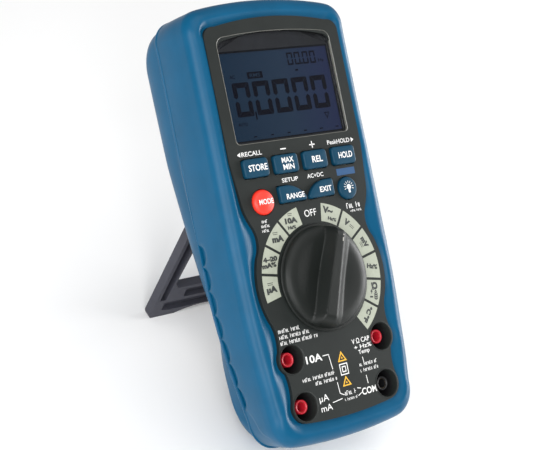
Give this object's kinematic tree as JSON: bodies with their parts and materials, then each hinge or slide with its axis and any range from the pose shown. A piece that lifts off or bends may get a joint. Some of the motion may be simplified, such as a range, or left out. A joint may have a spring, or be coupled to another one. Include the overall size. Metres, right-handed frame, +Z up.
{
  "type": "handheld digital multimeter on tilt stand",
  "caption": "Rugged digital multimeter with a rotary selector, display, keys and four shrouded 4 mm input sockets, leaning back on its fold-out tilt stand.",
  "frame": {"origin": "on the table under the middle of the assembly: the bottom centre of its bounding box, in the pose on the stand", "axes": "+Z up from the table, +X to the right of somebody who reads the display, +Y away from them; the face looks towards -Y and up, leaning back 43 degrees from level"},
  "size_m": [0.084, 0.1572, 0.1499],
  "materials": {
    "alu_can": "drawn can",
    "battery_case": "printed can",
    "black_plastic": "fine textured moulding",
    "blue_disc": "dipped coating",
    "blue_key": "smooth silicone",
    "blue_rubber": "satin moulded elastomer",
    "board": "solder mask",
    "brass": "turned and plated",
    "ceramic": "glazed tube",
    "chip": "moulded package",
    "com_plastic": "moulding",
    "copper_alloy": "bare alloy",
    "gloss_black": "polished moulding",
    "grey_rubber": "silicone",
    "lcd": "display glass",
    "light_guide": "milky acrylic",
    "red_key": "smooth silicone",
    "red_plastic": "moulding",
    "stand_plastic": "fine textured moulding",
    "steel": "zinc plated",
    "white_plastic": "moulding",
    "window": "clear polycarbonate"
  },
  "bodies": {
    "meter": {"battery": "battery_case", "battery_contact": "copper_alloy", "battery_door": "black_plastic", "board_screws": "steel", "buzzer": "chip", "capacitors": "alu_can", "case_gasket": "grey_rubber", "case_screws": "steel", "chips": "chip", "contact_strips": "grey_rubber", "detent_ring": "white_plastic", "door_gasket": "grey_rubber", "door_screws": "steel", "front_case": "black_plastic", "front_overmould": "blue_rubber", "fuse_10a": "ceramic", "fuse_clips": "copper_alloy", "fuse_ma": "ceramic", "keypad_mat": "grey_rubber", "lcd_backlight": "light_guide", "lcd_frame": "white_plastic", "lcd_glass": "lcd", "lcd_window": "window", "main_board": "board", "rear_case": "black_plastic", "rear_overmould": "blue_rubber", "shunt": "copper_alloy", "socket_10a": "brass", "socket_com": "brass", "socket_cup_10a": "red_plastic", "socket_cup_com": "com_plastic", "socket_cup_ma": "red_plastic", "socket_cup_volts": "red_plastic", "socket_links": "brass", "socket_ma": "brass", "socket_volts": "brass", "thermistor": "blue_disc", "varistors": "blue_disc", "window_gasket": "grey_rubber"},
    "knob": {"selector_knob": "gloss_black", "knob_oring": "grey_rubber", "switch_rotor": "white_plastic", "rotor_contacts": "copper_alloy", "rotor_screw": "steel", "detent_balls": "steel", "detent_springs": "steel"},
    "stand": {"tilt_stand": "stand_plastic"},
    "key_exit": {"key_exit": "blue_key"},
    "key_hold": {"key_hold": "blue_key"},
    "key_light": {"key_light": "blue_key"},
    "key_max_min": {"key_max_min": "blue_key"},
    "key_mode": {"key_mode": "red_key"},
    "key_range": {"key_range": "blue_key"},
    "key_relative": {"key_relative": "blue_key"},
    "key_store": {"key_store": "blue_key"}
  },
  "joints": [
    {"name": "knob_turn", "type": "hinge", "parent": "meter", "child": "knob", "pos_m": [0, -0.03647, 0.07522], "axis": [0, -0.682, 0.7314], "range_deg": [-112.5, 112.5]},
    {"name": "stand_fold", "type": "hinge", "parent": "meter", "child": "stand", "pos_m": [0, 0.02402, 0.07215], "axis": [1, 0, 0], "range_deg": [-52.6, 0]},
    {"name": "key_exit_press", "type": "slide", "parent": "meter", "child": "key_exit", "axis": [0, 0.682, -0.7314], "range_m": [0, 0.001], "stiffness_N_per_m": 1200},
    {"name": "key_hold_press", "type": "slide", "parent": "meter", "child": "key_hold", "axis": [0, 0.682, -0.7314], "range_m": [0, 0.001], "stiffness_N_per_m": 1200},
    {"name": "key_light_press", "type": "slide", "parent": "meter", "child": "key_light", "axis": [0, 0.682, -0.7314], "range_m": [0, 0.001], "stiffness_N_per_m": 1200},
    {"name": "key_max_min_press", "type": "slide", "parent": "meter", "child": "key_max_min", "axis": [0, 0.682, -0.7314], "range_m": [0, 0.001], "stiffness_N_per_m": 1200},
    {"name": "key_mode_press", "type": "slide", "parent": "meter", "child": "key_mode", "axis": [0, 0.682, -0.7314], "range_m": [0, 0.001], "stiffness_N_per_m": 1200},
    {"name": "key_range_press", "type": "slide", "parent": "meter", "child": "key_range", "axis": [0, 0.682, -0.7314], "range_m": [0, 0.001], "stiffness_N_per_m": 1200},
    {"name": "key_relative_press", "type": "slide", "parent": "meter", "child": "key_relative", "axis": [0, 0.682, -0.7314], "range_m": [0, 0.001], "stiffness_N_per_m": 1200},
    {"name": "key_store_press", "type": "slide", "parent": "meter", "child": "key_store", "axis": [0, 0.682, -0.7314], "range_m": [0, 0.001], "stiffness_N_per_m": 1200}
  ]
}
